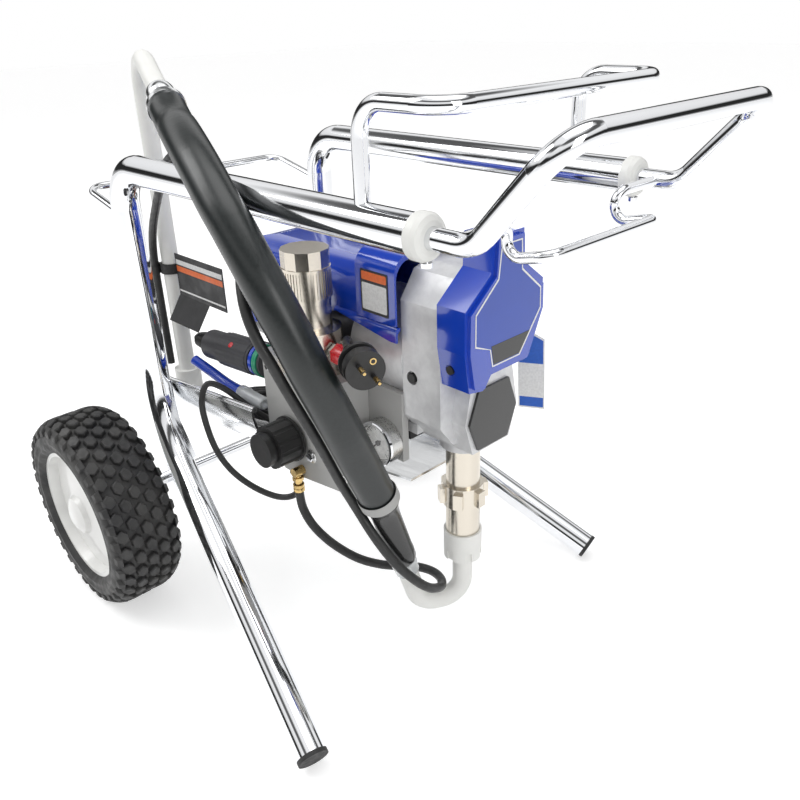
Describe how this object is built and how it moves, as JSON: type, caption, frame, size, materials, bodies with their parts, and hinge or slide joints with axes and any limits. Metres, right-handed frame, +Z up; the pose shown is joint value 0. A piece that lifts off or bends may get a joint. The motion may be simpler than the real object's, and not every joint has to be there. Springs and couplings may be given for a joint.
{
  "type": "airless paint sprayer",
  "caption": "Cart-mounted electric airless paint sprayer with a sliding pull handle, crank-driven piston pump, filter, gauge, suction hose and coiled cord.",
  "frame": {"origin": "centre of the footprint on the floor", "axes": "+X forward from the wheels to the pull handle, +Y left, +Z up"},
  "size_m": [0.79, 0.594, 0.6932],
  "materials": {
    "chrome_tube": "polished",
    "plated_steel": "satin",
    "polished_sheet": "polished",
    "cast_metal": "sand cast",
    "steel_can": "satin",
    "iron": "machined",
    "tyre_rubber": "matte, block tread",
    "white_rim": "gloss",
    "white_plastic": "satin",
    "black_rubber": "matte",
    "black_plastic": "satin",
    "grey_plastic": "satin",
    "dark_plastic": "satin",
    "blue_gloss": "gloss",
    "inset_panel": "satin",
    "blue_tube": "gloss",
    "red_plastic": "gloss",
    "brass": "machined",
    "sleeve_fabric": "woven, matte",
    "card": "matte"
  },
  "bodies": {
    "root": {"side_tube_right": "chrome_tube", "side_tube_left": "chrome_tube", "foot_plugs": "black_rubber", "handle_collars": "white_plastic", "collar_screws": "plated_steel", "cradle": "polished_sheet", "axle": "chrome_tube", "front_hose_rack": "chrome_tube", "rear_hose_rack": "chrome_tube", "mount_pads": "black_rubber", "motor_can": "steel_can", "front_bell": "cast_metal", "rear_bell": "cast_metal", "bearings": "plated_steel", "motor_shroud": "blue_gloss", "drive_housing": "cast_metal", "front_cover": "blue_gloss", "cover_panel": "inset_panel", "cover_screws": "black_plastic", "badge_plate": "black_plastic", "pump_cylinder": "plated_steel", "jam_nut": "plated_steel", "packings": "white_plastic", "intake_housing": "plated_steel", "inlet_nut": "white_plastic", "control_box": "grey_plastic", "manifold": "plated_steel", "filter_cap": "plated_steel", "filter_element": "white_plastic", "outlet_fitting": "plated_steel", "outlet_cap": "red_plastic", "prime_valve": "brass", "gauge_case": "plated_steel", "suction_sleeve": "sleeve_fabric", "suction_pipe": "white_plastic", "inlet_pipe": "white_plastic", "drain_hose": "black_rubber", "power_cord": "black_rubber", "cord_coil": "black_rubber", "cord_connector": "dark_plastic", "plug_lead": "black_rubber", "power_plug": "black_plastic", "blue_hose": "blue_tube", "instruction_card": "card", "hose_clips": "black_rubber"},
    "wheel_right": {"tyre_right": "tyre_rubber", "rim_right": "white_rim"},
    "wheel_left": {"tyre_left": "tyre_rubber", "rim_left": "white_rim"},
    "handle": {"pull_handle": "chrome_tube", "handle_bushings": "white_plastic"},
    "rotor": {"rotor": "iron"},
    "crank": {"crank_gear": "plated_steel"},
    "con_rod": {"connecting_rod": "iron"},
    "piston": {"piston_rod": "plated_steel"},
    "ball": {"intake_ball": "plated_steel"},
    "prime_knob": {"prime_knob": "black_plastic"},
    "pressure_knob": {"pressure_knob": "black_plastic"},
    "power_switch": {"power_switch": "black_plastic"},
    "gauge_needle": {"gauge_needle": "black_plastic"}
  },
  "joints": [
    {"name": "wheel_right_spin", "type": "hinge", "parent": "root", "child": "wheel_right", "pos_m": [-0.2615, -0.2515, 0.1335], "axis": [0, 1, 0], "continuous": true},
    {"name": "wheel_left_spin", "type": "hinge", "parent": "root", "child": "wheel_left", "pos_m": [-0.2615, 0.2515, 0.1335], "axis": [0, 1, 0], "continuous": true},
    {"name": "handle_slide", "type": "slide", "parent": "root", "child": "handle", "axis": [1, 0, 0], "range_m": [0, 0.3]},
    {"name": "rotor_spin", "type": "hinge", "parent": "root", "child": "rotor", "pos_m": [0.006, 0, 0.392], "axis": [1, 0, 0], "continuous": true},
    {"name": "crank_spin", "type": "hinge", "parent": "root", "child": "crank", "pos_m": [0.1465, 0, 0.447], "axis": [1, 0, 0], "continuous": true},
    {"name": "piston_slide", "type": "slide", "parent": "root", "child": "piston", "axis": [0, 0, 1], "range_m": [-0.024, 0]},
    {"name": "con_rod_swing", "type": "hinge", "parent": "piston", "child": "con_rod", "pos_m": [0.1675, 0, 0.359], "axis": [1, 0, 0], "range_deg": [-7, 7]},
    {"name": "intake_ball_lift", "type": "slide", "parent": "root", "child": "ball", "axis": [0, 0, 1], "range_m": [0, 0.003]},
    {"name": "prime_knob_turn", "type": "hinge", "parent": "root", "child": "prime_knob", "pos_m": [-0.0175, -0.13, 0.268], "axis": [0, -1, 0], "range_deg": [0, 100]},
    {"name": "pressure_knob_turn", "type": "hinge", "parent": "root", "child": "pressure_knob", "pos_m": [-0.0315, -0.082, 0.38], "axis": [0, 0, 1], "range_deg": [0, 270]},
    {"name": "power_switch_rock", "type": "hinge", "parent": "root", "child": "power_switch", "pos_m": [-0.0465, -0.08, 0.33], "axis": [0, 1, 0], "range_deg": [-8, 8]},
    {"name": "gauge_needle_turn", "type": "hinge", "parent": "root", "child": "gauge_needle", "pos_m": [0.1075, -0.0745, 0.297], "axis": [0, -1, 0], "range_deg": [0, 270]}
  ],
  "couplings": [
    {"joint": "crank_spin", "follows": "rotor_spin", "ratio": -0.1579}
  ]
}
